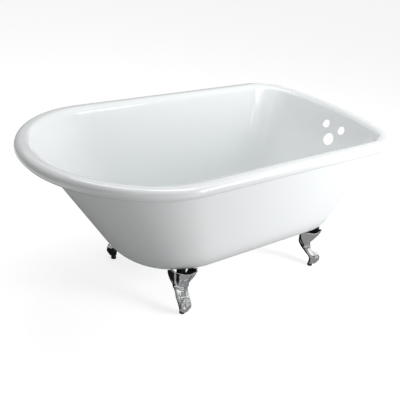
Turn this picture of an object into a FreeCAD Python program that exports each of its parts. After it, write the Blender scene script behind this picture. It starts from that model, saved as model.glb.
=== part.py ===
import FreeCAD, Part
import math
import os

import Sketcher
from FreeCAD import Placement, Rotation, Vector

# Enamelled cast-iron bathtub on four claw feet.
# Frame: millimetres, +Z up, origin on the ground under the middle of the tub.
# The round reclined head end is at -X, the steeper tap end at +X.

os.makedirs("parts", exist_ok=True)
doc = FreeCAD.newDocument("clawfoot_bathtub")

# ---------------------------------------------------------------- driving sizes
# alias, value in millimetres or degrees, what it measures
SIZES = [
    # rim and plan outline
    ("tub_length", 1524.0, "over the rolled rim"),
    ("tub_width", 762.0, "over the rolled rim"),
    ("rim_height", 618.0, "ground to the top of the rim, feet screwed in"),
    ("wall", 6.0, "iron with its enamel"),
    ("head_depth", 416.0, "length of the rounded head end, at the rim"),
    ("nose_radius", 341.0, "rim radius at the middle of the head end"),
    ("corner_radius", 186.0, "rim radius at the tap-end corners"),
    ("bow_radius", 949.0, "rim radius across the tap end"),
    ("roll_radius", 22.0, "outer radius of the rolled lip"),
    ("roll_turn", 63.0, "degrees the lip turns under"),
    ("crown_flat", 10.0, "level strip along the top of the rim"),
    ("crown_radius", 25.0, "bend from the rim into the bathing side"),
    # walls and floor
    ("floor_height", 131.0, "ground to the underside of the tub floor"),
    ("head_slope", 39.3, "degrees from upright, head end"),
    ("tap_slope", 18.9, "degrees from upright, tap end"),
    ("side_slope", 11.6, "degrees from upright, sides"),
    ("head_bend", 198.0, "wall to floor radius, head end"),
    ("tap_bend", 121.0, "wall to floor radius, tap end"),
    ("side_bend", 172.0, "wall to floor radius, sides"),
    ("head_draw", 0.36, "loss of head depth per millimetre of head inset"),
    ("corner_draw", 0.5, "loss of corner radius per millimetre of side inset"),
    # drillings
    ("tap_hole_radius", 17.5, "supply holes in the tap end"),
    ("tap_hole_centres", 85.7, "between the supply holes"),
    ("tap_hole_height", 545.5, "ground to the supply holes"),
    ("overflow_radius", 25.5, "overflow hole"),
    ("overflow_height", 493.0, "ground to the overflow hole"),
    ("drilling_offset", 45.0, "tap and overflow holes off the middle, to the near side"),
    ("drain_radius", 25.5, "waste hole in the floor"),
    ("drain_setback", 330.0, "tap-end rim to the waste hole"),
    # where the feet stand
    ("head_foot_setback", 548.0, "head-end rim to the head pads"),
    ("tap_foot_setback", 253.0, "tap-end rim to the tap pads"),
    ("foot_inset", 165.0, "side rim to the pads"),
    ("head_foot_splay", 12.8, "degrees the head feet turn towards their end"),
    ("tap_foot_splay", 38.8, "degrees the tap feet turn towards their end"),
    # claw foot casting: stations from the sole to the crest of the leaf
    ("sole_height", 15.0, "seat of the lock nut"),
    ("sole_reach", 2.5, "centre outboard of the pad"),
    ("sole_depth", 12.5, "half size outboard"),
    ("sole_width", 17.0, "half size sideways"),
    ("paw_height", 36.0, "widest part of the paw"),
    ("paw_reach", 8.5, "centre outboard of the pad"),
    ("paw_depth", 21.0, "half size outboard"),
    ("paw_width", 26.0, "half size sideways"),
    ("instep_height", 58.0, "over the paw"),
    ("instep_reach", -7.5, "centre outboard of the pad"),
    ("instep_depth", 16.5, "half size outboard"),
    ("instep_width", 29.5, "half size sideways"),
    ("ankle_height", 82.0, "thinnest part of the leg"),
    ("ankle_reach", -32.0, "centre outboard of the pad"),
    ("ankle_depth", 19.0, "half size outboard"),
    ("ankle_width", 27.5, "half size sideways"),
    ("knee_height", 110.0, "where the leaf springs from"),
    ("knee_reach", -47.0, "centre outboard of the pad"),
    ("knee_depth", 27.0, "half size outboard"),
    ("knee_width", 37.0, "half size sideways"),
    ("brow_height", 138.0, "middle of the leaf"),
    ("brow_reach", -53.0, "centre outboard of the pad"),
    ("brow_depth", 53.0, "half size outboard"),
    ("brow_width", 50.0, "half size sideways"),
    ("crest_height", 176.0, "top edge of the leaf"),
    ("crest_reach", -47.5, "centre outboard of the pad"),
    ("crest_depth", 60.5, "half size outboard"),
    ("crest_width", 55.5, "half size sideways"),
    ("leaf_wall", 8.0, "thickness of the hollow leaf"),
    ("leaf_floor_height", 124.0, "bottom of the hollow in the leaf"),
    ("leaf_back", 70.0, "pad to the open back of the leaf, inboard"),
    ("saddle_gap", 3.0, "between the leaf and the tub"),
    ("ball_radius", 19.0, "ball held by the claws"),
    ("ball_height", 30.0, "centre of the ball"),
    ("ball_reach", 10.0, "centre outboard of the pad"),
    ("toe_radius", 6.0, "thickness of a toe"),
    ("toe_spread", 52.0, "degrees between toes"),
    # mounting of a foot
    ("stud_reach", 52.0, "pad to mounting stud, inboard"),
    ("seat_thickness", 10.0, "foot between the boss and the stud nut"),
    ("boss_radius", 17.0, "boss cast under the tub"),
    ("boss_face_height", 122.0, "ground to the boss face"),
    ("boss_clearance", 4.0, "leaf around the boss"),
    ("thread_depth", 14.0, "tapped hole in the boss"),
    ("stud_radius", 5.0, "mounting stud"),
    ("stud_proud", 2.5, "stud beyond its nut"),
    ("thread_play", 0.05, "radial play of a thread"),
    ("hole_play", 0.5, "radial play of a clearance hole"),
    ("washer_radius", 10.0, "flat washer"),
    ("washer_thickness", 2.0, "flat washer"),
    ("spring_radius", 9.0, "spring washer"),
    ("spring_thickness", 2.5, "spring washer"),
    ("spring_cut", 14.0, "degrees of the gap in the spring washer"),
    ("nut_flats", 16.0, "across the flats of both nuts"),
    ("nut_thickness", 8.4, "stud nut"),
    ("nut_clearance", 3.0, "leg around the stud nut and its washers"),
    # levelling gear
    ("pad_radius", 10.5, "levelling pad"),
    ("pad_height", 8.0, "levelling pad"),
    ("pad_round", 1.5, "rounded edges of the pad"),
    ("socket_depth", 5.0, "socket of the screw in the pad"),
    ("pivot_radius", 3.5, "end of the screw in the pad"),
    ("pivot_play", 0.05, "radial play of the screw in the pad"),
    ("screw_radius", 5.0, "levelling screw"),
    ("screw_length", 34.0, "screw above the pad"),
    ("screw_headroom", 2.0, "hole beyond the end of the screw"),
    ("flats_thickness", 2.8, "spanner flats on the screw"),
    ("flats_width", 13.0, "across the spanner flats"),
    ("lock_nut_thickness", 4.0, "lock nut under the foot"),
    ("edge_break", 0.8, "chamfers on fasteners"),
]


def make_sheet():
    """Writes the driving sizes to a spreadsheet, one alias a row."""
    sheet = doc.addObject("Spreadsheet::Sheet", "sizes")
    for row, (alias, value, note) in enumerate(SIZES, start=1):
        sheet.set(f"A{row}", alias)
        sheet.set(f"B{row}", str(value))
        sheet.set(f"C{row}", note)
        sheet.setAlias(f"B{row}", alias)
    doc.recompute()
    return sheet


sheet = make_sheet()


def size(alias):
    """A driving size, read from the spreadsheet."""
    return float(sheet.get(alias))


HALF_LENGTH = size("tub_length") / 2
HALF_WIDTH = size("tub_width") / 2
RIM = size("rim_height")
WALL = size("wall")
CROWN = size("roll_radius") + size("crown_flat")
UP = Vector(0, 0, 1)


# ---------------------------------------------------------------- tub surfaces
def profile_inset(height, slope, bend, offset):
    """Inset from the rim's outer edge of a wall surface at a height.

    The wall leaves the crown level, bends down to its slope, runs straight
    and bends into the floor. Offset 0 is the underside of the iron and
    offset WALL is the bathing side.
    """
    slope = math.radians(slope)
    top_radius = size("crown_radius") - WALL + offset
    top_centre = RIM - size("crown_radius")
    straight_top = top_centre + top_radius * math.sin(slope)
    if height >= straight_top:
        return CROWN + math.sqrt(max(top_radius ** 2 - (height - top_centre) ** 2, 0.0))
    straight_inset = CROWN + top_radius * math.cos(slope)
    ground = size("floor_height") + offset
    radius = bend - offset
    straight_bottom = ground + radius * (1 - math.sin(slope))
    if height >= straight_bottom:
        return straight_inset + (straight_top - height) * math.tan(slope)
    bend_inset = straight_inset + (straight_top - straight_bottom) * math.tan(slope)
    rise = ground + radius - height
    return bend_inset + radius * math.cos(slope) - math.sqrt(max(radius ** 2 - rise ** 2, 0.0))


def outline(head, tap, half_width, depth, nose, corner, bow, height):
    """Closed level wire of the tub's plan, from arcs that run into each other."""
    turn = math.asin((half_width - corner) / (bow - corner))
    bow_centre = tap - bow
    corner_x = bow_centre + (bow - corner) * math.cos(turn)
    corner_y = half_width - corner
    shoulder = (depth ** 2 - 2 * depth * nose + half_width ** 2) / (2 * (half_width - nose))
    shoulder_x = head + depth
    shoulder_y = half_width - shoulder
    nose_x = head + nose
    reach = shoulder - nose
    meet_x = nose_x + nose * (nose_x - shoulder_x) / reach
    meet_y = nose * -shoulder_y / reach
    middle = (math.pi / 2 + math.atan2(meet_y - shoulder_y, meet_x - shoulder_x)) / 2

    def at(x, y):
        return Vector(x, y, height)

    def corner_point(angle):
        return corner_x + corner * math.cos(angle), corner_y + corner * math.sin(angle)

    start = corner_point(turn)
    side = corner_point(math.pi / 2)
    over = corner_point((turn + math.pi / 2) / 2)
    shoulder_mid = (shoulder_x + shoulder * math.cos(middle), shoulder_y + shoulder * math.sin(middle))
    return Part.Wire([
        Part.Arc(at(start[0], -start[1]), at(tap, 0), at(*start)).toShape(),
        Part.Arc(at(*start), at(*over), at(*side)).toShape(),
        Part.LineSegment(at(*side), at(shoulder_x, half_width)).toShape(),
        Part.Arc(at(shoulder_x, half_width), at(*shoulder_mid), at(meet_x, meet_y)).toShape(),
        Part.Arc(at(meet_x, meet_y), at(head, 0), at(meet_x, -meet_y)).toShape(),
        Part.Arc(at(meet_x, -meet_y), at(shoulder_mid[0], -shoulder_mid[1]),
                 at(shoulder_x, -half_width)).toShape(),
        Part.LineSegment(at(shoulder_x, -half_width), at(side[0], -side[1])).toShape(),
        Part.Arc(at(side[0], -side[1]), at(over[0], -over[1]), at(start[0], -start[1])).toShape(),
    ])


def rim_ring(inset, height):
    """Outline parallel to the rim's outer edge."""
    return outline(inset - HALF_LENGTH, HALF_LENGTH - inset, HALF_WIDTH - inset,
                   size("head_depth") - inset, size("nose_radius") - inset,
                   size("corner_radius") - inset, size("bow_radius") - inset, height)


def wall_ring(height, offset):
    """Outline of a wall surface at a height."""
    head = profile_inset(height, size("head_slope"), size("head_bend"), offset)
    tap = profile_inset(height, size("tap_slope"), size("tap_bend"), offset)
    side = profile_inset(height, size("side_slope"), size("side_bend"), offset)
    half_width = HALF_WIDTH - side
    depth = size("head_depth") - CROWN - (head - CROWN) * size("head_draw")
    nose = half_width * (size("nose_radius") - CROWN) / (HALF_WIDTH - CROWN)
    corner = size("corner_radius") - CROWN - (side - CROWN) * size("corner_draw")
    return outline(head - HALF_LENGTH, HALF_LENGTH - tap, half_width, depth, nose, corner,
                   size("bow_radius") - CROWN, height)


def wall_heights(offset):
    """Heights of the level sections of a wall surface: its crown, then the rest."""
    top_radius = size("crown_radius") - WALL + offset
    top_centre = RIM - size("crown_radius")
    crown = [top_centre + top_radius * math.sin(math.radians(a)) for a in (90, 78, 66, 54, 42, 30, 18, 6)]
    ground = size("floor_height") + offset
    bend = max(size("head_bend"), size("tap_bend"), size("side_bend")) - offset
    steps = 8
    drop = crown[-1] - ground - bend
    straight = [crown[-1] - drop * n / steps for n in range(steps + 1)]
    turned = [ground + bend * (1 - math.sin(math.radians(a))) for a in range(10, 91, 10)]
    return crown, straight + turned


def loft(rings, ruled=False):
    """Faces of a smooth skin through rings."""
    return Part.makeLoft(rings, False, ruled, False, 5).Faces


def wall_faces(offset):
    """Skin of one side of the walls, with its lowest ring."""
    crown, rest = wall_heights(offset)
    crown_rings = [wall_ring(z, offset) for z in crown]
    rest_rings = [crown_rings[-1]] + [wall_ring(z, offset) for z in rest[1:]]
    return loft(crown_rings) + loft(rest_rings), crown_rings[0], rest_rings[-1]


def solid_from(faces, label):
    """One closed solid sewn from faces."""
    shell = Part.makeShell(faces)
    shell.sewShape()
    solid = Part.makeSolid(Part.Shell(shell.Faces) if shell.ShapeType != "Shell" else shell)
    if not solid.isClosed():
        raise RuntimeError(label + " is not closed")
    if solid.Volume < 0:
        solid.reverse()
    return solid


def tub_volume(offset):
    """Everything inside a wall surface, closed level at the top."""
    faces, top, bottom = wall_faces(offset)
    return solid_from(faces + [Part.Face(top), Part.Face(bottom)], "tub volume")


def shell_casting():
    """Walls, floor and rolled rim in one piece, before bosses and holes."""
    inner, inner_top, inner_bottom = wall_faces(WALL)
    under, under_top, under_bottom = wall_faces(0.0)
    radius = size("roll_radius")
    bore = radius - WALL
    centre = RIM - radius
    turns = [90 - (90 + size("roll_turn")) * n / 10 for n in range(11)]
    outside = [rim_ring(radius - radius * math.cos(math.radians(a)),
                        centre + radius * math.sin(math.radians(a))) for a in turns]
    inside = [rim_ring(radius - bore * math.cos(math.radians(a)),
                       centre + bore * math.sin(math.radians(a))) for a in turns]
    faces = inner + under + [Part.Face(inner_bottom), Part.Face(under_bottom)]
    faces += loft([inner_top, outside[0]], True) + loft(outside)
    faces += loft([outside[-1], inside[-1]], True)
    faces += loft(inside[::-1]) + loft([inside[0], under_top], True)
    return solid_from(faces, "shell casting")


def feature(name, shape):
    """Document object that holds a shape made here."""
    obj = doc.addObject("Part::Feature", name)
    obj.Shape = shape
    return obj


# ---------------------------------------------------------------- feet in plan
def corner_places():
    """Name, pad position and turn of each foot; a turn of 0 faces +X."""
    head_x = size("head_foot_setback") - HALF_LENGTH
    tap_x = HALF_LENGTH - size("tap_foot_setback")
    half_track = HALF_WIDTH - size("foot_inset")
    head_turn = 90 + size("head_foot_splay")
    tap_turn = 90 - size("tap_foot_splay")
    return [
        ("head_near", head_x, -half_track, -head_turn),
        ("head_far", head_x, half_track, head_turn),
        ("tap_near", tap_x, -half_track, -tap_turn),
        ("tap_far", tap_x, half_track, tap_turn),
    ]


def foot_placement(x, y, turn, reach, height):
    """Place at a reach from a pad, outboard along its foot."""
    angle = math.radians(turn)
    base = Vector(x + reach * math.cos(angle), y + reach * math.sin(angle), height)
    return Placement(base, Rotation(UP, turn))


# ---------------------------------------------------------------- tub shell
def drilling(name, radius_alias, point, axis, length):
    """Cutter for a round hole, centred on a point."""
    tool = doc.addObject("Part::Cylinder", name)
    tool.setExpression("Radius", "sizes." + radius_alias)
    tool.Height = length
    start = point - axis * (length / 2)
    tool.Placement = Placement(start, Rotation(UP, axis))
    return tool


def tap_end_point(height, y):
    """Middle of the tap-end wall at a height and a distance across."""
    inset = profile_inset(height, size("tap_slope"), size("tap_bend"), WALL / 2)
    bow = size("bow_radius") - CROWN
    return Vector(HALF_LENGTH - inset - bow + math.sqrt(bow ** 2 - y ** 2), y, height)


def make_tub_shell():
    casting = feature("tub_casting", shell_casting())
    core = feature("tub_core", tub_volume(WALL / 2))
    bosses = []
    threads = []
    for name, x, y, turn in corner_places():
        boss = doc.addObject("Part::Cylinder", "boss_" + name)
        boss.setExpression("Radius", "sizes.boss_radius")
        boss.setExpression("Height", "sizes.crest_height - sizes.boss_face_height")
        boss.Placement = foot_placement(x, y, turn, -size("stud_reach"), size("boss_face_height"))
        trimmed = doc.addObject("Part::Cut", "trimmed_boss_" + name)
        trimmed.Base = boss
        trimmed.Tool = core
        bosses.append(trimmed)
        thread = doc.addObject("Part::Cylinder", "thread_" + name)
        thread.setExpression("Radius", "sizes.stud_radius + sizes.thread_play")
        thread.setExpression("Height", "sizes.thread_depth")
        thread.Placement = boss.Placement
        threads.append(thread)
    iron = doc.addObject("Part::MultiFuse", "bossed_casting")
    iron.Shapes = [casting] + bosses
    slope = math.radians(size("tap_slope"))
    outward = Vector(math.cos(slope), 0, -math.sin(slope))
    reach = 10 * WALL
    middle = -size("drilling_offset")
    half_centres = size("tap_hole_centres") / 2
    drain = Vector(HALF_LENGTH - size("drain_setback"), 0, size("floor_height") + WALL / 2)
    holes = [
        drilling("tap_hole_far", "tap_hole_radius",
                 tap_end_point(size("tap_hole_height"), middle + half_centres), outward, reach),
        drilling("tap_hole_near", "tap_hole_radius",
                 tap_end_point(size("tap_hole_height"), middle - half_centres), outward, reach),
        drilling("overflow_hole", "overflow_radius",
                 tap_end_point(size("overflow_height"), middle), outward, reach),
        drilling("drain_hole", "drain_radius", drain, UP, reach),
    ]
    cutters = doc.addObject("Part::MultiFuse", "shell_cutters")
    cutters.Shapes = holes + threads
    shell = doc.addObject("Part::Cut", "tub_shell")
    shell.Base = iron
    shell.Tool = cutters
    return shell


# ---------------------------------------------------------------- claw feet
STATIONS = ("sole", "paw", "instep", "ankle", "knee", "brow", "crest")


def oval(reach, height, depth, width):
    """Level oval wire, half sizes depth outboard and width sideways."""
    turns = [math.radians(30 * n) for n in range(12)]
    points = [Vector(reach + depth * math.cos(a), width * math.sin(a), height) for a in turns]
    curve = Part.BSplineCurve()
    curve.interpolate(Points=points, PeriodicFlag=True)
    return Part.Wire([curve.toShape()])


def station_oval(name, shrink=0.0):
    return oval(size(name + "_reach"), size(name + "_height"),
                size(name + "_depth") - shrink, size(name + "_width") - shrink)


def toe(turn):
    """One toe that arches over the ball and ends in a claw."""
    ball = Vector(size("ball_reach"), 0, size("ball_height"))
    thick = size("toe_radius")
    ring = size("ball_radius") + thick * 0.3
    top, bottom = 70.0, -22.0

    def on_ring(angle, radius):
        a = math.radians(angle)
        return ball + Vector(radius * math.cos(a), 0, radius * math.sin(a))

    arch = Part.Arc(on_ring(top, ring), on_ring((top + bottom) / 2, ring), on_ring(bottom, ring))
    start = on_ring(top, ring)
    radial = (start - ball).normalize()
    across = Vector(radial.z, 0, -radial.x)
    section = Part.Wire([Part.Circle(start, across, thick).toShape()])
    arm = Part.Wire([arch.toShape()]).makePipeShell([section], True, True)
    knuckle = Part.makeSphere(thick * 1.25, on_ring(24, ring + thick * 0.15))
    tip = on_ring(bottom, ring)
    down = Vector(math.sin(math.radians(bottom)), 0, -math.cos(math.radians(bottom)))
    claw = Part.makeCone(thick, thick * 0.3, thick * 1.5, tip, down)
    whole = arm.fuse([knuckle, claw])
    whole.rotate(ball, UP, turn)
    return whole


def foot_casting():
    """Leg, open-backed leaf, ball and claws, and the seat of the tub's boss, about the pad's axis."""
    leg = Part.makeLoft([station_oval(name) for name in STATIONS], True, False, False, 5)
    inner = size("leaf_wall")
    over_crest = oval(size("crest_reach"), size("crest_height") + inner,
                      size("crest_depth") - inner, size("crest_width") - inner)
    hollow = Part.makeLoft([
        oval(size("knee_reach"), size("leaf_floor_height"),
             (size("knee_depth") - inner) * 0.9, (size("knee_width") - inner) * 0.9),
        station_oval("brow", inner), station_oval("crest", inner), over_crest],
        True, False, False, 5)
    ball = Part.makeSphere(size("ball_radius"), Vector(size("ball_reach"), 0, size("ball_height")))
    toes = [toe(turn * size("toe_spread")) for turn in (-1, 0, 1)]
    whole = leg.cut(hollow).fuse([ball] + toes)
    behind_leaf = Part.makeBox(2 * size("crest_depth"), 4 * size("crest_width"), 2 * size("crest_height"),
                               Vector(-size("leaf_back") - 2 * size("crest_depth"), -2 * size("crest_width"), 0))
    seat = size("boss_face_height")
    seat_base = seat - size("seat_thickness")
    stud_x = -size("stud_reach")
    stud_hole = Part.makeCylinder(size("stud_radius") + size("hole_play"), 2 * size("seat_thickness"),
                                  Vector(stud_x, 0, seat_base - size("seat_thickness") / 2))
    boss_room = Part.makeCylinder(size("boss_radius") + size("boss_clearance"), size("crest_height"),
                                  Vector(stud_x, 0, seat))
    room = size("washer_radius") + size("nut_clearance")
    room_height = (size("washer_thickness") + size("spring_thickness") + size("nut_thickness")
                   + size("stud_proud") + size("nut_clearance"))
    nut_room = Part.makeCylinder(room, room_height, Vector(stud_x, 0, seat_base - room_height))
    spanner_room = Part.makeBox(size("leaf_back"), 2 * room, room_height,
                                Vector(stud_x - size("leaf_back"), -room, seat_base - room_height))
    seat_radius = size("nut_flats") / math.sqrt(3) + size("edge_break")
    nut_seat = Part.makeCylinder(seat_radius, size("sole_height"), Vector(0, 0, 0))
    screw_top = size("pad_height") + size("screw_length") + size("screw_headroom")
    screw_hole = Part.makeCylinder(size("screw_radius") + size("thread_play"), screw_top)
    return whole.cut([behind_leaf, stud_hole, boss_room, nut_room, spanner_room, nut_seat, screw_hole])


def make_feet():
    saddle = feature("saddle_clearance", tub_volume(-size("saddle_gap")))
    casting = foot_casting()
    feet = []
    for name, x, y, turn in corner_places():
        raw = feature("foot_casting_" + name, casting)
        raw.Placement = foot_placement(x, y, turn, 0, 0)
        foot = doc.addObject("Part::Cut", "claw_foot_" + name)
        foot.Base = raw
        foot.Tool = saddle
        foot.Refine = False
        feet.append(foot)
    return feet


# ---------------------------------------------------------------- small parts
def new_body(name, placement):
    body = doc.addObject("PartDesign::Body", name)
    body.Label = name
    body.Placement = placement
    return body


def origin_item(body, role):
    return next(item for item in body.Origin.OriginFeatures if item.Role == role)


def new_sketch(body, name, plane):
    sketch = body.newObject("Sketcher::SketchObject", name)
    sketch.AttachmentSupport = (origin_item(body, plane), "")
    sketch.MapMode = "FlatFace"
    return sketch


def bind(sketch, constraint, name, expression):
    """Adds a sized constraint and ties it to the spreadsheet."""
    index = sketch.addConstraint(constraint)
    sketch.renameConstraint(index, name)
    sketch.setExpression("Constraints." + name, expression)


def centred_circle(sketch, name, radius, expression):
    circle = sketch.addGeometry(Part.Circle(Vector(0, 0, 0), UP, radius))
    sketch.addConstraint(Sketcher.Constraint("Coincident", circle, 3, -1, 1))
    bind(sketch, Sketcher.Constraint("Radius", circle, radius), name, expression)


def hexagon(sketch, name, flats, expression):
    """Regular hexagon about the sketch origin, sized across its flats."""
    radius = flats / math.sqrt(3)
    points = [Vector(radius * math.cos(math.radians(60 * n)), radius * math.sin(math.radians(60 * n)), 0)
              for n in range(6)]
    sides = [sketch.addGeometry(Part.LineSegment(points[n], points[(n + 1) % 6])) for n in range(6)]
    guide = sketch.addGeometry(Part.Circle(Vector(0, 0, 0), UP, radius), True)
    sketch.addConstraint(Sketcher.Constraint("Coincident", guide, 3, -1, 1))
    for n in range(6):
        sketch.addConstraint(Sketcher.Constraint("Coincident", sides[n], 2, sides[(n + 1) % 6], 1))
        sketch.addConstraint(Sketcher.Constraint("PointOnObject", sides[n], 1, guide))
        if n:
            sketch.addConstraint(Sketcher.Constraint("Equal", sides[0], sides[n]))
    sketch.addConstraint(Sketcher.Constraint("PointOnObject", sides[0], 1, -1))
    bind(sketch, Sketcher.Constraint("Radius", guide, radius), name, expression)


def pad_sketch(body, sketch, name, expression):
    pad = body.newObject("PartDesign::Pad", name)
    pad.Profile = sketch
    pad.setExpression("Length", expression)
    doc.recompute()
    return pad


def break_round_edges(body, feature_in, name, expression, kind="PartDesign::Chamfer"):
    """Chamfers or rounds every circular edge of a feature."""
    edges = ["Edge%d" % (n + 1) for n, edge in enumerate(feature_in.Shape.Edges)
             if isinstance(edge.Curve, Part.Circle)]
    cut = body.newObject(kind, name)
    cut.Base = (feature_in, edges)
    cut.setExpression("Size" if kind.endswith("Chamfer") else "Radius", expression)
    doc.recompute()
    return cut


def make_stud(name, placement):
    body = new_body(name, placement)
    sketch = new_sketch(body, name + "_section", "XY_Plane")
    centred_circle(sketch, "shank", size("stud_radius"), "sizes.stud_radius")
    rod = pad_sketch(body, sketch, name + "_rod",
                     "sizes.thread_depth + sizes.seat_thickness + sizes.washer_thickness"
                     " + sizes.spring_thickness + sizes.nut_thickness + sizes.stud_proud")
    break_round_edges(body, rod, name + "_ends", "sizes.edge_break")
    return body


def make_washer(name, placement):
    body = new_body(name, placement)
    sketch = new_sketch(body, name + "_section", "XY_Plane")
    centred_circle(sketch, "outside", size("washer_radius"), "sizes.washer_radius")
    centred_circle(sketch, "inside", size("stud_radius") + size("hole_play"),
                   "sizes.stud_radius + sizes.hole_play")
    pad_sketch(body, sketch, name + "_disc", "sizes.washer_thickness")
    return body


def rectangle(sketch, inner, outer, low, high, names, expressions):
    """Upright rectangle beside the sketch's vertical axis, with four sizes."""
    corners = [Vector(inner, low, 0), Vector(outer, low, 0), Vector(outer, high, 0), Vector(inner, high, 0)]
    sides = [sketch.addGeometry(Part.LineSegment(corners[n], corners[(n + 1) % 4])) for n in range(4)]
    for n in range(4):
        sketch.addConstraint(Sketcher.Constraint("Coincident", sides[n], 2, sides[(n + 1) % 4], 1))
        sketch.addConstraint(Sketcher.Constraint("Vertical" if n % 2 else "Horizontal", sides[n]))
    sketch.addConstraint(Sketcher.Constraint("PointOnObject", sides[0], 1, -1))
    bind(sketch, Sketcher.Constraint("DistanceX", -1, 1, sides[0], 1, inner), names[0], expressions[0])
    bind(sketch, Sketcher.Constraint("DistanceX", -1, 1, sides[0], 2, outer), names[1], expressions[1])
    bind(sketch, Sketcher.Constraint("DistanceY", sides[1], 1, sides[1], 2, high - low), names[2], expressions[2])


def make_spring_washer(name, placement):
    body = new_body(name, placement)
    sketch = new_sketch(body, name + "_section", "XZ_Plane")
    rectangle(sketch, size("stud_radius") + size("hole_play"), size("spring_radius"),
              0.0, size("spring_thickness"), ("inner", "outer", "tall"),
              ("sizes.stud_radius + sizes.hole_play", "sizes.spring_radius", "sizes.spring_thickness"))
    coil = body.newObject("PartDesign::Revolution", name + "_coil")
    coil.Profile = sketch
    coil.ReferenceAxis = (origin_item(body, "Z_Axis"), [""])
    coil.setExpression("Angle", "360 - sizes.spring_cut")
    doc.recompute()
    return body


def make_nut(name, placement, bore_expression, bore, thickness_expression):
    body = new_body(name, placement)
    sketch = new_sketch(body, name + "_section", "XY_Plane")
    hexagon(sketch, "corners", size("nut_flats"), "sizes.nut_flats / sqrt(3)")
    centred_circle(sketch, "bore", bore, bore_expression)
    blank = pad_sketch(body, sketch, name + "_blank", thickness_expression)
    break_round_edges(body, blank, name + "_lead_in", "sizes.edge_break")
    return body


def make_pad(name, placement):
    body = new_body(name, placement)
    sketch = new_sketch(body, name + "_section", "XY_Plane")
    centred_circle(sketch, "outside", size("pad_radius"), "sizes.pad_radius")
    disc = pad_sketch(body, sketch, name + "_disc", "sizes.pad_height")
    rounded = break_round_edges(body, disc, name + "_edges", "sizes.pad_round", "PartDesign::Fillet")
    solid_volume = rounded.Shape.Volume
    socket_sketch = new_sketch(body, name + "_socket_section", "XY_Plane")
    socket_sketch.AttachmentOffset = Placement(Vector(0, 0, size("pad_height")), Rotation())
    socket_sketch.setExpression(".AttachmentOffset.Base.z", "sizes.pad_height")
    centred_circle(socket_sketch, "socket", size("pivot_radius") + size("pivot_play"),
                   "sizes.pivot_radius + sizes.pivot_play")
    socket = body.newObject("PartDesign::Pocket", name + "_socket")
    socket.Profile = socket_sketch
    socket.setExpression("Length", "sizes.socket_depth")
    doc.recompute()
    if body.Shape.Volume >= solid_volume:
        raise RuntimeError(name + " socket cuts nothing")
    return body


def make_screw(name, placement):
    """Pivot in the pad, spanner flats and shank, from the socket's floor up."""
    body = new_body(name, placement)
    pivot_sketch = new_sketch(body, name + "_pivot_section", "XY_Plane")
    centred_circle(pivot_sketch, "pivot", size("pivot_radius"), "sizes.pivot_radius")
    pad_sketch(body, pivot_sketch, name + "_pivot", "sizes.socket_depth")
    flats_sketch = new_sketch(body, name + "_flats_section", "XY_Plane")
    flats_sketch.setExpression(".AttachmentOffset.Base.z", "sizes.socket_depth")
    hexagon(flats_sketch, "corners", size("flats_width"), "sizes.flats_width / sqrt(3)")
    pad_sketch(body, flats_sketch, name + "_flats", "sizes.flats_thickness")
    shank_sketch = new_sketch(body, name + "_shank_section", "XY_Plane")
    shank_sketch.setExpression(".AttachmentOffset.Base.z", "sizes.socket_depth")
    centred_circle(shank_sketch, "shank", size("screw_radius"), "sizes.screw_radius")
    pad_sketch(body, shank_sketch, name + "_shank", "sizes.screw_length")
    return body


def make_fasteners():
    """Studs, washers, nuts and levelling gear of the four feet."""
    made = []
    seat_base = size("boss_face_height") - size("seat_thickness")
    washer_base = seat_base - size("washer_thickness")
    spring_base = washer_base - size("spring_thickness")
    nut_base = spring_base - size("nut_thickness")
    socket_floor = size("pad_height") - size("socket_depth")
    for name, x, y, turn in corner_places():
        def stud_line(height):
            return foot_placement(x, y, turn, -size("stud_reach"), height)

        def pad_line(height):
            return foot_placement(x, y, turn, 0, height)

        made += [
            make_stud("foot_stud_" + name, stud_line(nut_base - size("stud_proud"))),
            make_washer("flat_washer_" + name, stud_line(washer_base)),
            make_spring_washer("spring_washer_" + name, stud_line(spring_base)),
            make_nut("stud_nut_" + name, stud_line(nut_base), "sizes.stud_radius + sizes.thread_play",
                     size("stud_radius") + size("thread_play"), "sizes.nut_thickness"),
            make_nut("lock_nut_" + name, pad_line(size("sole_height") - size("lock_nut_thickness")),
                     "sizes.screw_radius + sizes.thread_play",
                     size("screw_radius") + size("thread_play"), "sizes.lock_nut_thickness"),
            make_screw("levelling_screw_" + name, pad_line(socket_floor)),
            make_pad("levelling_pad_" + name, pad_line(0)),
        ]
    return made


# ---------------------------------------------------------------- build and export
parts = [make_tub_shell()] + make_feet() + make_fasteners()
doc.recompute()

for obj in doc.Objects:
    if "Invalid" in obj.State or "Error" in obj.State:
        raise RuntimeError(obj.Name + " failed: " + ", ".join(obj.State))

for part in parts:
    part.Label = part.Name
    if part.Shape.isNull() or not part.Shape.isValid():
        raise RuntimeError(part.Label + " has no valid shape")
    if len(part.Shape.Solids) != 1:
        raise RuntimeError("%s has %d solids" % (part.Label, len(part.Shape.Solids)))

for part in parts:
    part.Shape.exportStep(os.path.join("parts", part.Label + ".step"))
    print(part.Label, round(part.Shape.Volume), "mm3")
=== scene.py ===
"""Clawfoot bathtub: enamelled shell, plated claw feet, fasteners, studio and camera."""
import math
import bmesh
import bpy
import numpy as np
from mathutils import Matrix, Vector


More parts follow.
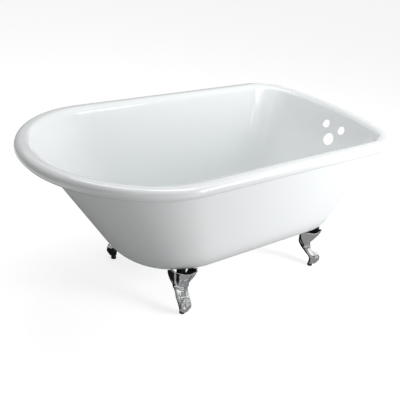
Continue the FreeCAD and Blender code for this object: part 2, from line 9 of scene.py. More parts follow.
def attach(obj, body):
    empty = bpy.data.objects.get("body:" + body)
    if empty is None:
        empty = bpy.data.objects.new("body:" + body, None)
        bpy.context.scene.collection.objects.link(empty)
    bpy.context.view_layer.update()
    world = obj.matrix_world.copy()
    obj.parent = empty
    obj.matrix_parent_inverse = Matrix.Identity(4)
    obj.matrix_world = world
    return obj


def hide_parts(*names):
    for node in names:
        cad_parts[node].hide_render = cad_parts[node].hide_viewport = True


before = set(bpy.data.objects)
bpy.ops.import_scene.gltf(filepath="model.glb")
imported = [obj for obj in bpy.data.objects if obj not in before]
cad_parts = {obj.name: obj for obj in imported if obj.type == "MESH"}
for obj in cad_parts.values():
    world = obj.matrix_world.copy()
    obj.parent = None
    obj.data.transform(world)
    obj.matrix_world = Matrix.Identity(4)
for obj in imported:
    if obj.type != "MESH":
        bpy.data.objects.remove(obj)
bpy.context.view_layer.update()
MM = 0.001
UP = Vector((0.0, 0.0, 1.0))

# ---------------------------------------------------------------- sizes of the tub, in millimetres
# x runs from the head end to the tap end, y from the near side to the far side, z up from the ground
HALF_LENGTH, HALF_WIDTH, RIM, WALL, FLOOR = 762.0, 381.0, 618.0, 6.0, 131.0
# the rolled rim: its radius, its turn below level in degrees, the flat beside it and the crown's radius
ROLL, ROLL_TURN, CROWN_FLAT, CROWN_RADIUS = 22.0, 63.0, 10.0, 25.0
CROWN = ROLL + CROWN_FLAT
# plan of the rim: depth of the round head end, and the radii of its nose, the tap corners and the bow
HEAD_DEPTH, NOSE, CORNER, BOW = 416.0, 341.0, 186.0, 949.0
# share of a wall's inset that comes off the head's depth and off the corner radius
HEAD_DRAW, CORNER_DRAW = 0.36, 0.5
# each wall's slope from upright in degrees, and the radius of its bend into the floor
HEAD, TAP, SIDE = (39.3, 198.0), (18.9, 121.0), (11.6, 172.0)
# holes: radii, heights, tap hole centres, their middle across the tub, and the waste hole from the rim
TAP_HOLE, WASTE_HOLE = 17.5, 25.5
TAP_HOLE_HEIGHT, OVERFLOW_HEIGHT = 545.5, 493.0
TAP_HOLE_CENTRES, DRILLING_MIDDLE, DRAIN_SETBACK = 85.7, -45.0, 330.0
# each foot's place on the ground, and the turn in degrees of its own frame, whose x points outward
CORNERS = {"head_near": (-214.0, -216.0, -102.8), "head_far": (-214.0, 216.0, 102.8),
           "tap_near": (509.0, -216.0, -51.2), "tap_far": (509.0, 216.0, 51.2)}

# ---------------------------------------------------------------- fineness of the tub's surfaces
CROWN_RINGS, STRAIGHT_RINGS, BEND_RINGS, ROLL_RINGS, BORE_RINGS = 14, 26, 34, 40, 24
CROWN_END, BEND_START = 12, 10  # degrees at which the crown meets, and the bend leaves, the steepest wall
STRAIGHT_END = 8  # degrees into the bend at which the last straight ring lies
PLAN_POINTS = (14, 22, 34, 18, 30)  # on the bow, corner, straight, shoulder and nose of half the plan
HOLE_SIDES, DRILL_REACH, SHARP_ANGLE = 96, 30, 35


# ---------------------------------------------------------------- materials
def material(name, color, metallic=0.0, roughness=0.4, **sockets):
    mat = bpy.data.materials.new(name)
    mat.use_nodes = True
    shader = mat.node_tree.nodes["Principled BSDF"]
    shader.inputs["Base Color"].default_value = (*color, 1.0)
    shader.inputs["Metallic"].default_value = metallic
    shader.inputs["Roughness"].default_value = roughness
    for socket, value in sockets.items():
        shader.inputs[socket.replace("_", " ")].default_value = value
    return mat


enamel = material("gloss_enamel", (0.91, 0.935, 0.94), roughness=0.12, Coat_Weight=0.4, Coat_Roughness=0.04)
satin = material("satin_enamel", (0.9, 0.92, 0.925), roughness=0.42)
chrome = material("chrome_plate", (0.82, 0.83, 0.84), metallic=1.0, roughness=0.1)
# near-black iron for the bosses and the inside of the feet: unpainted casting in part, and in part painted
# shade of the dark gap between the feet and the tub
raw_iron_painted_shade = material("raw_iron_painted_shade", (0.03, 0.03, 0.032), roughness=0.6)
steel = material("zinc_steel", (0.55, 0.55, 0.54), metallic=1.0, roughness=0.3)
rubber = material("pad_rubber", (0.035, 0.035, 0.037), roughness=0.45)
shell_materials = (enamel, satin, raw_iron_painted_shade)
INSIDE, OUTSIDE, BOSS = 0, 1, 2


# ---------------------------------------------------------------- tub surfaces
def profile_inset(height, slope, bend, offset):
    """Inset from the rim's outer edge of a wall surface; offset WALL is the bathing side."""
    slope = math.radians(slope)
    top_radius = CROWN_RADIUS - WALL + offset
    top_centre = RIM - CROWN_RADIUS
    straight_top = top_centre + top_radius * math.sin(slope)
    ground = FLOOR + offset
    radius = bend - offset
    straight_bottom = ground + radius * (1 - math.sin(slope))
    straight_inset = CROWN + top_radius * math.cos(slope)
    h = np.asarray(height, float)
    top = CROWN + np.sqrt(np.maximum(top_radius ** 2 - (h - top_centre) ** 2, 0.0))
    middle = straight_inset + (straight_top - h) * math.tan(slope)
    bend_inset = straight_inset + (straight_top - straight_bottom) * math.tan(slope)
    drop = ground + radius - h
    low = bend_inset + radius * math.cos(slope) - np.sqrt(np.maximum(radius ** 2 - drop ** 2, 0.0))
    return np.where(h >= straight_top, top, np.where(h >= straight_bottom, middle, low))


def outline_arcs(head, tap, half_width, depth, nose, corner, bow):
    """Arc centres, radii and end normals of the tub's plan, far half, from the tap end to the head."""
    turn = np.arcsin((half_width - corner) / (bow - corner))
    bow_x = tap - bow
    corner_x = bow_x + (bow - corner) * np.cos(turn)
    corner_y = half_width - corner
    shoulder = (depth ** 2 - 2 * depth * nose + half_width ** 2) / (2 * (half_width - nose))
    shoulder_x, shoulder_y = head + depth, half_width - shoulder
    nose_x = head + nose
    meet = np.arctan2(-shoulder_y, nose_x - shoulder_x)
    return turn, bow_x, corner_x, corner_y, shoulder, shoulder_x, shoulder_y, nose_x, meet


def outline_points(sizes):
    """Points around the tub's plan, from the middle of the tap end by the far side."""
    head, tap, half_width, depth, nose, corner, bow = (float(s) for s in sizes)
    turn, bow_x, corner_x, corner_y, shoulder, shoulder_x, shoulder_y, nose_x, meet = (
        float(v) for v in outline_arcs(head, tap, half_width, depth, nose, corner, bow))
    spread = [np.linspace(0, 1, n, endpoint=False) for n in PLAN_POINTS]
    half = []
    a = spread[0] * turn
    half += list(zip(bow_x + bow * np.cos(a), bow * np.sin(a)))
    a = turn + spread[1] * (math.pi / 2 - turn)
    half += list(zip(corner_x + corner * np.cos(a), corner_y + corner * np.sin(a)))
    half += list(zip(corner_x + (shoulder_x - corner_x) * spread[2], np.full(PLAN_POINTS[2], half_width)))
    a = math.pi / 2 + spread[3] * (meet - math.pi / 2)
    half += list(zip(shoulder_x + shoulder * np.cos(a), shoulder_y + shoulder * np.sin(a)))
    a = meet + spread[4] * (math.pi - meet)
    half += list(zip(nose_x + nose * np.cos(a), nose * np.sin(a)))
    half.append((head, 0.0))
    mirrored = [(x, -y) for x, y in half[-2:0:-1]]
    return half + mirrored


def rim_sizes(inset):
    """Sizes of the plan at an inset from the rim's outer edge."""
    return (inset - HALF_LENGTH, HALF_LENGTH - inset, HALF_WIDTH - inset, HEAD_DEPTH - inset,
            NOSE - inset, CORNER - inset, BOW - inset)


def wall_sizes(height, offset):
    """Sizes of the plan of a wall surface at a height."""
    head, tap, side = (profile_inset(height, *wall, offset) for wall in (HEAD, TAP, SIDE))
    half_width = HALF_WIDTH - side
    return (head - HALF_LENGTH, HALF_LENGTH - tap, half_width,
            HEAD_DEPTH - CROWN - (head - CROWN) * HEAD_DRAW,
            half_width * (NOSE - CROWN) / (HALF_WIDTH - CROWN),
            CORNER - CROWN - (side - CROWN) * CORNER_DRAW, BOW - CROWN)


def wall_heights(offset):
    """Heights of the rings down a wall: along the crown, the straight part and the widest bend."""
    top_radius = CROWN_RADIUS - WALL + offset
    crown = [RIM - CROWN_RADIUS + top_radius * math.sin(math.radians(a))
             for a in np.linspace(90, CROWN_END, CROWN_RINGS)]
    ground = FLOOR + offset
    bend = HEAD[1] - offset
    straight_end = ground + bend * (1 - math.sin(math.radians(STRAIGHT_END)))
    straight = list(np.linspace(crown[-1], straight_end, STRAIGHT_RINGS))[1:]
    turned = [ground + bend * (1 - math.sin(math.radians(a)))
              for a in np.linspace(BEND_START, 90, BEND_RINGS)]
    return crown + straight + turned


def mesh_object(name, vertices, faces, materials=(), scale=MM):
    data = bpy.data.meshes.new(name)
    data.from_pydata([tuple(float(c) * scale for c in v) for v in vertices], [], faces)
    for mat in materials:
        data.materials.append(mat)
    data.polygons.foreach_set("use_smooth", [True] * len(data.polygons))
    data.update()
    obj = bpy.data.objects.new(name, data)
    bpy.context.scene.collection.objects.link(obj)
    return obj


def tub_shell():
    """Bathing side, crown, roll and underside as one closed skin of rings."""
    rings, slots = [], []

    def add(sizes, height, slot):
        rings.append([(x, y, height) for x, y in outline_points(sizes)])
        slots.append(slot)

    for z in wall_heights(WALL)[::-1]:
        add(wall_sizes(z, WALL), z, INSIDE)
    centre = RIM - ROLL
    for a in np.radians(np.linspace(90, -ROLL_TURN, ROLL_RINGS)):
        add(rim_sizes(ROLL - ROLL * math.cos(a)), centre + ROLL * math.sin(a), INSIDE)
    bore = ROLL - WALL
    for a in np.radians(np.linspace(-ROLL_TURN, 90, BORE_RINGS)):
        add(rim_sizes(ROLL - bore * math.cos(a)), centre + bore * math.sin(a), OUTSIDE)
    for z in wall_heights(0.0):
        add(wall_sizes(z, 0.0), z, OUTSIDE)
    count = len(rings[0])
    vertices = [v for ring in rings for v in ring]
    faces, marks = [], []
    for r in range(len(rings) - 1):
        for i in range(count):
            j = (i + 1) % count
            faces.append((r * count + i, r * count + j, (r + 1) * count + j, (r + 1) * count + i))
            marks.append(slots[r + 1])
    faces.append(tuple(range(count))[::-1])
    marks.append(INSIDE)
    last = (len(rings) - 1) * count
    faces.append(tuple(range(last, last + count)))
    marks.append(OUTSIDE)
    shell = mesh_object("tub_shell_enamel", vertices, faces, shell_materials)
    shell.data.polygons.foreach_set("material_index", marks)
    normals = bmesh.new()
    normals.from_mesh(shell.data)
    bmesh.ops.recalc_face_normals(normals, faces=normals.faces)
    normals.to_mesh(shell.data)
    normals.free()
    return shell


def combine(shell, operation, parts, slot):
    """Join or cut closed prisms, each given by its lower and upper ring of points."""
    vertices, faces = [], []
    for low, high in parts:
        n, base = len(low), len(vertices)
        vertices += list(low) + list(high)
        faces += [tuple(base + k for k in (i, (i + 1) % n, n + (i + 1) % n, n + i)) for i in range(n)]
        faces += [tuple(range(base, base + n))[::-1], tuple(range(base + n, base + 2 * n))]
    tool = mesh_object("tool", vertices, faces, shell_materials)
    tool.data.polygons.foreach_set("material_index", [slot] * len(faces))
    step = shell.modifiers.new("step", "BOOLEAN")
    step.operation, step.solver, step.object = operation, "EXACT", tool
    step.material_mode = "INDEX"
    bpy.context.view_layer.update()
    result = bpy.data.meshes.new_from_object(shell.evaluated_get(bpy.context.evaluated_depsgraph_get()))
    shell.modifiers.clear()
    shell.data = result
    bpy.data.objects.remove(tool)


def tap_end_point(height, y):
    """Middle of the tap-end wall at a height and a distance across."""
    bow = BOW - CROWN
    inset = float(profile_inset(height, *TAP, WALL / 2))
    return Vector((HALF_LENGTH - inset - bow + math.sqrt(bow ** 2 - y ** 2), y, height))


def drill(shell):
    """Cut the tap holes, the overflow hole and the waste hole through the walls."""
    slope = math.radians(TAP[0])
    outward = Vector((math.cos(slope), 0.0, -math.sin(slope)))
    holes = [(tap_end_point(TAP_HOLE_HEIGHT, DRILLING_MIDDLE - TAP_HOLE_CENTRES / 2), TAP_HOLE, outward),
             (tap_end_point(TAP_HOLE_HEIGHT, DRILLING_MIDDLE + TAP_HOLE_CENTRES / 2), TAP_HOLE, outward),
             (tap_end_point(OVERFLOW_HEIGHT, DRILLING_MIDDLE), WASTE_HOLE, outward),
             (Vector((HALF_LENGTH - DRAIN_SETBACK, 0.0, FLOOR + WALL / 2)), WASTE_HOLE, UP)]
    turns = [2 * math.pi * n / HOLE_SIDES for n in range(HOLE_SIDES)]
    parts = []
    for point, radius, axis in holes:
        spin = UP.rotation_difference(axis).to_matrix()
        ends = [[point + spin @ Vector((radius * math.cos(t), radius * math.sin(t), z)) for t in turns]
                for z in (-DRILL_REACH, DRILL_REACH)]
        parts.append(ends)
    combine(shell, "DIFFERENCE", parts, INSIDE)
    shell.data.set_sharp_from_angle(angle=math.radians(SHARP_ANGLE))


# ---------------------------------------------------------------- between a foot's own frame and the tub
PLAN_NORMALS = np.radians(np.arange(0, 181, 3.0))
WALL_LEAN = 0.93  # cosine of a wall of middling slope: turns a level distance into a square one
ABOVE_FLOOR = 0.01

# the boss in a foot's own frame: inboard of the pad, its radius, its face, and a height inside the wall
STUD_X, BOSS_RADIUS, BOSS_FACE, BOSS_SEARCH_TOP = -52.0, 17.0, 122.0, 260.0
BOSS_TURNS = np.radians(np.arange(0, 360, 7.5))
HALVINGS = 24


def placed(points, corner):
    """Points of a foot's own frame, in the tub's frame."""
    x, y, turn = CORNERS[corner]
    a = math.radians(turn)
    return np.stack([x + points[:, 0] * math.cos(a) - points[:, 1] * math.sin(a),
                     y + points[:, 0] * math.sin(a) + points[:, 1] * math.cos(a), points[:, 2]], axis=1)


def tub_distance(p, corner, gap):
    """Signed distance outside the tub's underside and a gap, for points in a foot's own frame."""
    wx, wy, z = placed(p, corner).T
    wy = np.abs(wy)
    sizes = wall_sizes(np.maximum(z, FLOOR + ABOVE_FLOOR), 0.0)
    bow_turn, bow_x, corner_x, corner_y, shoulder, shoulder_x, shoulder_y, nose_x, meet = outline_arcs(*sizes)
    nose, corner_radius, bow = sizes[4:]
    outside = np.full(len(p), -1e9)
    for n in PLAN_NORMALS:
        c, s = math.cos(n), math.sin(n)
        support = np.where(n < bow_turn, bow_x * c + bow, np.where(
            n < math.pi / 2, corner_x * c + corner_y * s + corner_radius, np.where(
                n < meet, shoulder_x * c + shoulder_y * s + shoulder, nose_x * c + nose)))
        outside = np.maximum(outside, wx * c + wy * s - support)
    return np.maximum(outside * WALL_LEAN, (FLOOR - z)) - gap


def foot_bosses(shell):
    """Cast bosses under the shell that stand on the feet and hold their studs."""
    parts = []
    count = len(BOSS_TURNS)
    ring = np.stack([STUD_X + BOSS_RADIUS * np.cos(BOSS_TURNS), BOSS_RADIUS * np.sin(BOSS_TURNS),
                     np.full(count, BOSS_FACE)], axis=1)
    for corner in CORNERS:
        low, high = np.full(count, BOSS_FACE), np.full(count, BOSS_SEARCH_TOP)
        for _ in range(HALVINGS):
            middle = (low + high) / 2
            under = tub_distance(np.column_stack((ring[:, :2], middle)), corner, 0.0) > 0
            low, high = np.where(under, middle, low), np.where(under, high, middle)
        face = placed(ring, corner)
        parts.append((face, np.column_stack((face[:, :2], low + WALL / 2))))
    # the bosses take the near-black iron slot: unpainted seats, darkened as painted shade of the gap above
    # each leaf
    combine(shell, "UNION", parts, BOSS)


shell = tub_shell()
foot_bosses(shell)
drill(shell)
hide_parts("tub_shell")
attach(shell, "tub")

# ---------------------------------------------------------------- claw feet
STATIONS = np.array([  # height, reach, half depth, half width of the leg and leaf
    (13, 2.0, 11.5, 15.0), (24, 7.0, 15.0, 17.0), (36, 7.0, 17.5, 20.0), (48, 0.0, 17.5, 24.0),
    (60, -12.0, 17.5, 26.5), (72, -24.5, 17.0, 25.5), (84, -34.5, 19.0, 26.0), (97, -41.5, 22.0, 29.5),
    (110, -46.0, 26.0, 36.0), (123, -50.0, 36.0, 42.5), (138, -51.5, 48.0, 48.0), (155, -49.5, 55.5, 51.0),
    (178, -47.0, 58.0, 53.5)])
SOLE, SHIN_START, FAN_START, LEAF_START, CURL_START, CREST = 15.0, 50.0, 96.0, 100.0, 160.0, 175.0
SHIN_FADE, FAN_HEIGHT, LEAF_FADE, CURL_HEIGHT = 10.0, 80.0, 18.0, 16.0
CURL, CREST_SCALLOP, LEAF_WALL, LEAF_BACK, TUB_GAP = 5.0, 5.5, 7.0, -70.0, 3.0
PAW = ((4, 0, 52), (19, 23, 12))  # centre and radii
BALL = ((10, 0, 30), (19, 19, 18.5))
TOES = [  # turn, reach, width
    (0, 20.0, 7.8), (-56, 19.5, 7.4), (56, 19.5, 7.4), (-118, 16.5, 6.4), (118, 16.5, 6.4)]
TOE_ROOT = (8.0, 0.0, 0.0)
# radii of the rooms and holes of the fixing, then their heights, then those of the levelling screw
BOSS_ROOM, NUT_ROOM, STUD_HOLE = 21.0, 13.0, 5.5
NUT_ROOM_FLOOR, SEAT_UNDER, STUD_HOLE_SPARE = 93.6, 112.0, 5.0
LOCK_NUT_ROOM, SCREW_HOLE, SCREW_HOLE_TOP = 10.04, 5.05, 44.0
# the dark inside of the leaf, unplated casting and painted shade of the gap under the tub: how deep under the
# skin it starts, and from which height
UNPLATED_SHADE_DEPTH, UNPLATED_SHADE_FLOOR = 3.0, 92.0
FOOT_LOW, FOOT_HIGH, FOOT_STEP = (-76, -66, 8), (42, 66, 182), 1.5
GRID_PARTS, SETTLING_ROUNDS, SLOPE_STEP, SLOPE_FLOOR, LARGEST_SHIFT = 12, 3, 0.05, 0.2, 0.4


def smooth_min(a, b, k):
    h = np.clip(0.5 + 0.5 * (b - a) / k, 0, 1)
    return b + (a - b) * h - k * h * (1 - h)


def smooth_max(a, b, k):
    return -smooth_min(-a, -b, k)


def capsule(p, a, b, ra, rb):
    """Tapered rod between two points."""
    a, b = np.array(a, float), np.array(b, float)
    d = b - a
    t = np.clip(((p - a) @ d) / (d @ d), 0, 1)
    return np.linalg.norm(p - a - t[:, None] * d, axis=1) - (ra + (rb - ra) * t)


def ball(p, centre, radii):
    q = (p - np.array(centre)) / np.array(radii)
    return (np.linalg.norm(q, axis=1) - 1) * min(radii)


def station(z, column):
    """Smooth interpolation of a station column over height."""
    h, v = STATIONS[:, 0], STATIONS[:, column]
    slope = np.gradient(v, h)
    z = np.clip(z, h[0], h[-1])
    i = np.clip(np.searchsorted(h, z) - 1, 0, len(h) - 2)
    step = h[i + 1] - h[i]
    t = (z - h[i]) / step
    return ((2 * t ** 3 - 3 * t ** 2 + 1) * v[i] + (t ** 3 - 2 * t ** 2 + t) * step * slope[i]
            + (3 * t ** 2 - 2 * t ** 3) * v[i + 1] + (t ** 3 - t ** 2) * step * slope[i + 1])


def ridge(x, width):
    return np.exp(-(x / width) ** 2)


def rise(z, start, height):
    """0 below a height, 1 well above it."""
    return np.clip((z - start) / height, 0, 1)


def front_share(phi):
    """1 on the front of the leaf, fading to 0 at its back."""
    return np.clip(1.6 - np.abs(phi) / 1.7, 0, 1)


def toe(p, angle, reach, width):
    """Distance to one toe: knuckles over the ball and a short curved claw."""
    a = math.radians(angle)
    q = p - np.array(TOE_ROOT)
    q = np.stack([q[:, 0] * math.cos(a) + q[:, 1] * math.sin(a),
                  -q[:, 0] * math.sin(a) + q[:, 1] * math.cos(a), q[:, 2]], axis=1)
    d = capsule(q, (-4, 0, 62), (reach - 9.0, 0, 57.5), width * 0.85, width)
    d = smooth_min(d, ball(q, (reach - 9.0, 0, 56.5), (width * 1.25, width * 1.12, width)), 1.5)
    d = smooth_min(d, capsule(q, (reach - 8.5, 0, 55), (reach - 2.0, 0, 48), width * 0.8, width * 0.78), 1.0)
    d = smooth_min(d, ball(q, (reach - 1.5, 0, 48), (width * 0.98, width * 1.05, width)), 0.8)
    claw = capsule(q, (reach + 0.5, 0, 45), (reach + 2.6, 0, 36), width * 0.66, width * 0.5)
    claw = smooth_min(claw, capsule(q, (reach + 2.6, 0, 36), (reach + 0.8, 0, 24), width * 0.48, 0.8), 2.0)
    return smooth_min(d, claw, 0.6)


def leaf_skin(p):
    """Outside of the leg and leaf: distance, angle about its axis, fold pattern and swell."""
    x, y, z = p[:, 0], p[:, 1], p[:, 2]
    centre, depth, width = (station(z, c) for c in (1, 2, 3))
    fan = rise(z, FAN_START, FAN_HEIGHT)
    phi = np.arctan2(y / width, (x - centre) / depth)
    front = front_share(phi)
    # lobes of the leaf swell between sharp folds and fan out from the knee
    fold = np.abs(np.cos(math.pi * phi / (0.46 + 0.2 * fan)))
    leaf = rise(z, LEAF_START, LEAF_FADE)
    swell = leaf * front * (4.6 * fold ** 0.75 - 2.8 + 1.8 * ridge(phi, 0.05 + 0.03 * fan))
    # tendons run down the shin to the toes
    shin = rise(z, SHIN_START, SHIN_FADE) * (1 - leaf)
    swell += shin * (1.8 * np.abs(np.cos(phi * 2.3)) - 1.0 + 0.9 * ridge(phi, 0.13))
    curl = CURL * rise(z, CURL_START, CURL_HEIGHT) ** 2 * front
    radial = np.sqrt(((x - centre) / depth) ** 2 + (y / width) ** 2)
    return (radial - 1) * np.minimum(depth, width) - swell - curl, phi, fold * front, swell


def foot_distance(p, corner):
    """Signed distance to the whole casting of a foot."""
    x, y, z = p[:, 0], p[:, 1], p[:, 2]
    outer, phi, fold, swell = leaf_skin(p)
    crest = CREST - CREST_SCALLOP * (front_share(phi) - fold)
    leg = smooth_max(outer, z - crest, 3.5)
    leg = smooth_max(leg, SOLE - z, 2.0)
    hollow = smooth_max(outer + LEAF_WALL + swell * 0.6, BOSS_FACE - z, 8.0)
    leg = smooth_max(leg, -hollow, 2.0)
    # a rolled collar where the leaf springs from the leg
    collar = np.hypot(outer + 1.0, (z - 101.0 + 9.0 * np.abs(np.cos(1.9 * phi))) * 0.7) - 3.2
    leg = smooth_min(leg, np.where(np.abs(phi) < 2.0, collar, 5.0), 2.0)
    leg = smooth_max(leg, LEAF_BACK - x, 3.0)
    # ball and toes
    d = smooth_min(leg, ball(p, *PAW), 6.0)
    for turn, reach, width in TOES:
        d = smooth_min(d, toe(p, turn, reach, width), 1.6)
    d = smooth_min(d, ball(p, *BALL), 0.6)
    # room for the tub, its boss, the nut and a spanner from behind, then the holes
    d = smooth_max(d, -tub_distance(p, corner, TUB_GAP), 1.0)
    stud = np.hypot(x - STUD_X, y)
    d = np.maximum(d, -np.maximum(stud - BOSS_ROOM, BOSS_FACE - z))
    slot = np.minimum(stud, np.where(x < STUD_X, np.abs(y), 1e3)) - NUT_ROOM
    d = np.maximum(d, -np.maximum(slot, np.maximum(NUT_ROOM_FLOOR - z, z - SEAT_UNDER)))
    above_seat, below_seat = z - BOSS_FACE - STUD_HOLE_SPARE, SEAT_UNDER - STUD_HOLE_SPARE - z
    d = np.maximum(d, -np.maximum(stud - STUD_HOLE, np.maximum(above_seat, below_seat)))
    screw = np.hypot(x, y)
    d = np.maximum(d, -np.maximum(screw - LOCK_NUT_ROOM, z - SOLE))
    return np.maximum(d, -np.maximum(screw - SCREW_HOLE, z - SCREW_HOLE_TOP))


def crossing_points(values, low, step):
    """One point in each grid cell that the surface passes through, and each cell's point number."""
    cells = tuple(n - 1 for n in values.shape)
    total, hits = np.zeros(cells + (3,)), np.zeros(cells)

    def at(c):
        return values[c[0]:c[0] + cells[0], c[1]:c[1] + cells[1], c[2]:c[2] + cells[2]]

    for a in ((i, j, k) for i in (0, 1) for j in (0, 1) for k in (0, 1)):
        for axis in range(3):
            if a[axis]:
                continue
            b = tuple(1 if n == axis else a[n] for n in range(3))
            va, vb = at(a), at(b)
            cross = (va < 0) != (vb < 0)
            t = np.where(cross, va / np.where(cross, va - vb, 1), 0)
            for n in range(3):
                total[..., n] += np.where(cross, a[n] + (t if n == axis else 0), 0)
            hits += cross
    used = hits > 0
    index = np.full(cells, -1)
    index[used] = np.arange(used.sum())
    return np.array(low) + (np.argwhere(used) + total[used] / hits[used][:, None]) * step, index


def crossing_quads(inside, index):
    """A quad around each grid edge that the surface crosses, facing outward."""
    cells = index.shape
    quads = []
    for axis in range(3):
        u, v = [n for n in range(3) if n != axis]
        lower = [slice(1, cells[n]) if n != axis else slice(0, cells[n]) for n in range(3)]
        upper = list(lower)
        upper[axis] = slice(1, cells[axis] + 1)
        starts_inside = inside[tuple(lower)]
        crossed = starts_inside != inside[tuple(upper)]
        base = np.argwhere(crossed)
        for n in (u, v):
            base[:, n] += 1
        ring = []
        for du, dv in ((0, 0), (1, 0), (1, 1), (0, 1)):
            c = base.copy()
            c[:, u] -= du
            c[:, v] -= dv
            ring.append(index[c[:, 0], c[:, 1], c[:, 2]])
        ring = np.stack(ring, axis=1)
        flip = starts_inside[crossed] if axis != 1 else ~starts_inside[crossed]
        ring[~flip] = ring[~flip][:, ::-1]
        quads.append(ring)
    quads = np.concatenate(quads)
    return quads[(quads >= 0).all(axis=1)]


def surface(field, low, high, step):
    """Quad mesh of a field's zero surface, with its points settled onto the surface."""
    axes = [np.arange(start, end + step, step) for start, end in zip(low, high)]
    grid = np.stack(np.meshgrid(*axes, indexing="ij"), axis=-1).reshape(-1, 3)
    values = np.concatenate([field(part) for part in np.array_split(grid, GRID_PARTS)])
    values = values.reshape([len(a) for a in axes])
    points, index = crossing_points(values, low, step)
    quads = crossing_quads(values < 0, index)
    for _ in range(SETTLING_ROUNDS):
        f = field(points)
        slopes = [field(points + SLOPE_STEP * np.eye(3)[n]) - f for n in range(3)]
        g = np.stack(slopes, axis=1) / SLOPE_STEP
        shift = f[:, None] * g / np.maximum((g * g).sum(axis=1), SLOPE_FLOOR)[:, None]
        limit = np.maximum(np.linalg.norm(shift, axis=1) / (LARGEST_SHIFT * step), 1.0)
        points = points - shift / limit[:, None]
    return points, quads


def claw_feet(end):
    """The near foot of one end of the tub, and its mirror image on the far side."""
    points, quads = surface(lambda p: foot_distance(p, end + "_near"), FOOT_LOW, FOOT_HIGH, FOOT_STEP)
    middles = points[quads].mean(axis=1)
    # faces inside the leaf take the near-black iron: unplated casting, and painted shade of the gap between
    # foot and tub
    unplated_shade = (leaf_skin(middles)[0] < -UNPLATED_SHADE_DEPTH) & (middles[:, 2] > UNPLATED_SHADE_FLOOR)
    for side, mirror in (("near", 1.0), ("far", -1.0)):
        corner = end + "_" + side
        vertices = placed(points * np.array((1.0, mirror, 1.0)), corner)
        faces = quads if mirror > 0 else quads[:, ::-1]
        foot = mesh_object("claw_foot_chrome_" + corner, vertices, faces.tolist(), (chrome, raw_iron_painted_shade))
        foot.data.polygons.foreach_set("material_index", unplated_shade.astype(int).tolist())
        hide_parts("claw_foot_" + corner)
        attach(foot, "tub")


for end in ("head", "tap"):
    claw_feet(end)

# ---------------------------------------------------------------- fasteners and pads keep their solids
FINISHES = {"foot_stud": steel, "flat_washer": steel, "spring_washer": steel, "stud_nut": steel,
            "lock_nut": steel, "levelling_screw": steel, "levelling_pad": rubber}
for name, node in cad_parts.items():
    kind = name.rsplit("_", 2)[0]
    if kind in FINISHES:
        node.data.materials.clear()
        node.data.materials.append(FINISHES[kind])

# ---------------------------------------------------------------- studio, in metres
FLOOR_SPAN, FLOOR_TONE, FLOOR_GLOW = 60.0, 0.62, 0.7
WORLD_WHITE, WORLD_AMBIENT = 1.0, 0.34
LAMPS = [  # name, place, target, width, height, watts
    ("top_light", (0.2, 0.1, 3.0), (0.1, 0.0, 0.3), 2.8, 0.9, 32),
    ("tap_end_light", (1.0, -1.75, 0.95), (0.45, -0.3, 0.4), 0.9, 0.9, 25)]
FLAG_TONES = {"black": 0.01, "dark": 0.1, "grey": 0.3}
FLAGS = [  # name, centre, width, height, point that it faces, tone
    ("flag_under", (0.05, 0.25, 0.001), 1.7, 0.9, (0.05, 0.25, 1.0), "black"),
    ("flag_ground", (0.1, -0.7, 0.0005), 3.0, 1.1, (0.1, -0.7, 1.0), "grey"),
    ("flag_head_end", (-3.0, 0.4, 0.8), 5.0, 2.6, (0.0, 0.0, 0.5), "grey"),
    ("flag_back", (0.2, 2.8, 0.8), 6.0, 2.6, (0.2, 0.0, 0.5), "grey"),
    ("flag_front_right", (0.55, -1.0, 0.45), 0.8, 0.9, (-0.2, -0.2, 0.1), "dark"),
    ("flag_left", (-1.9, 0.7, 0.5), 1.4, 1.0, (-0.2, -0.2, 0.1), "dark"),
    ("flag_above_head", (-1.5, -0.6, 1.3), 1.5, 1.5, (-0.2, -0.2, 0.1), "grey"),
    ("flag_above_front", (-0.3, -1.8, 1.3), 1.5, 1.5, (-0.1, -0.2, 0.1), "grey")]


def card(name, centre, width, height, facing, mat):
    """Flat stage card that faces a point."""
    half_w, half_h = width / 2, height / 2
    ring = [(-half_w, -half_h, 0), (half_w, -half_h, 0), (half_w, half_h, 0), (-half_w, half_h, 0)]
    obj = mesh_object(name, ring, [(0, 1, 2, 3)], (mat,), 1.0)
    obj.location = centre
    obj.rotation_euler = (Vector(facing) - Vector(centre)).to_track_quat("Z", "Y").to_euler()
    return obj


def soft_light(name, position, target, width, height, power):
    lamp = bpy.data.lights.new(name, "AREA")
    lamp.shape, lamp.size, lamp.size_y, lamp.energy = "RECTANGLE", width, height, power
    obj = bpy.data.objects.new(name, lamp)
    bpy.context.scene.collection.objects.link(obj)
    obj.location = position
    obj.rotation_euler = (Vector(target) - Vector(position)).to_track_quat("-Z", "Y").to_euler()
    obj.visible_camera = False


def background_seen(nodes, links, white, ambient):
    """Strength that is white for camera, mirror and glass rays, and the ambient level for all others."""
    path = nodes.new("ShaderNodeLightPath")
    seen = path.outputs["Is Camera Ray"]
    for kind in ("Is Glossy Ray", "Is Transmission Ray"):
        either = nodes.new("ShaderNodeMath")
        either.operation = "MAXIMUM"
        links.new(seen, either.inputs[0])
        links.new(path.outputs[kind], either.inputs[1])
        seen = either.outputs[0]
    level = nodes.new("ShaderNodeMath")
    level.operation = "MULTIPLY_ADD"
    level.inputs[1].default_value = white - ambient
    level.inputs[2].default_value = ambient
    links.new(seen, level.inputs[0])
    return level.outputs[0]


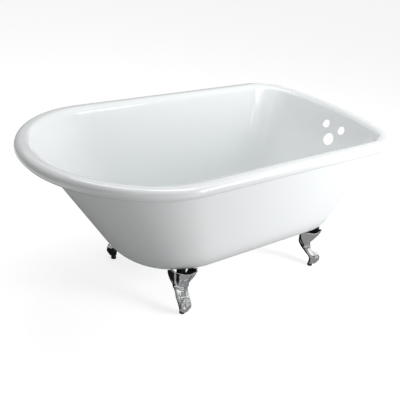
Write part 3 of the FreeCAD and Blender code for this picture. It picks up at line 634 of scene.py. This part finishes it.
def studio_floor():
    """Pale matt floor that keeps the object's shadow and shows white where it is seen."""
    tone = (FLOOR_TONE, FLOOR_TONE, FLOOR_TONE)
    mat = material("studio_floor", tone, roughness=0.9, Specular_IOR_Level=0.0)
    nodes, links = mat.node_tree.nodes, mat.node_tree.links
    glow = nodes.new("ShaderNodeEmission")
    links.new(background_seen(nodes, links, FLOOR_GLOW, 0.0), glow.inputs["Strength"])
    both = nodes.new("ShaderNodeAddShader")
    links.new(nodes["Principled BSDF"].outputs[0], both.inputs[0])
    links.new(glow.outputs[0], both.inputs[1])
    links.new(both.outputs[0], nodes["Material Output"].inputs["Surface"])
    card("studio_floor", (0, 0, 0), FLOOR_SPAN, FLOOR_SPAN, (0, 0, 1), mat)


def studio_world():
    """White surroundings where they are seen, and a dimmer even light everywhere else."""
    world = bpy.data.worlds.new("studio")
    bpy.context.scene.world = world
    world.use_nodes = True
    nodes, links = world.node_tree.nodes, world.node_tree.links
    background = nodes["Background"]
    background.inputs["Color"].default_value = (1, 1, 1, 1)
    links.new(background_seen(nodes, links, WORLD_WHITE, WORLD_AMBIENT), background.inputs["Strength"])


def flag_material(name, level):
    """Plain unlit tone for the cards that only reflections see."""
    mat = bpy.data.materials.new(name)
    mat.use_nodes = True
    tree = mat.node_tree
    tone = tree.nodes.new("ShaderNodeEmission")
    tone.inputs["Strength"].default_value = level
    tree.links.new(tone.outputs[0], tree.nodes["Material Output"].inputs["Surface"])
    return mat


studio_floor()
studio_world()
for lamp in LAMPS:
    soft_light(*lamp)
tones = {name: flag_material("flag_" + name, level) for name, level in FLAG_TONES.items()}
for *shape, tone in FLAGS:
    flag = card(*shape, tones[tone])
    flag.visible_camera = flag.visible_diffuse = flag.visible_shadow = flag.visible_transmission = False

# ---------------------------------------------------------------- camera
CAMERA_PLACE = (-1.8676, -1.8320, 1.5731)
YAW, PITCH, ROLL_ANGLE = 45.58, 25.60, 9.56
FOCAL_PX, PICTURE_PX, SENSOR_MM, CLIP_END = 752.3, 400.0, 36.0, 200


def place_camera():
    """Camera at the picture's place, turned by yaw and pitch and then rolled about its own axis."""
    yaw, pitch, roll = (math.radians(a) for a in (YAW, PITCH, ROLL_ANGLE))
    look = Vector((math.sin(yaw) * math.cos(pitch), math.cos(yaw) * math.cos(pitch), -math.sin(pitch)))
    right = Vector((math.cos(yaw), -math.sin(yaw), 0))
    up = right.cross(look)
    right_rolled = right * math.cos(roll) + up * math.sin(roll)
    up_rolled = up * math.cos(roll) - right * math.sin(roll)
    lens = bpy.data.cameras.new("camera")
    lens.sensor_fit, lens.sensor_width = "HORIZONTAL", SENSOR_MM
    lens.lens = FOCAL_PX * SENSOR_MM / PICTURE_PX
    lens.clip_end = CLIP_END
    camera = bpy.data.objects.new("camera", lens)
    turn = Matrix((right_rolled, up_rolled, -look)).transposed().to_4x4()
    camera.matrix_world = Matrix.Translation(CAMERA_PLACE) @ turn
    bpy.context.scene.collection.objects.link(camera)
    bpy.context.scene.camera = camera


place_camera()
bpy.context.scene.view_settings.view_transform = "Standard"
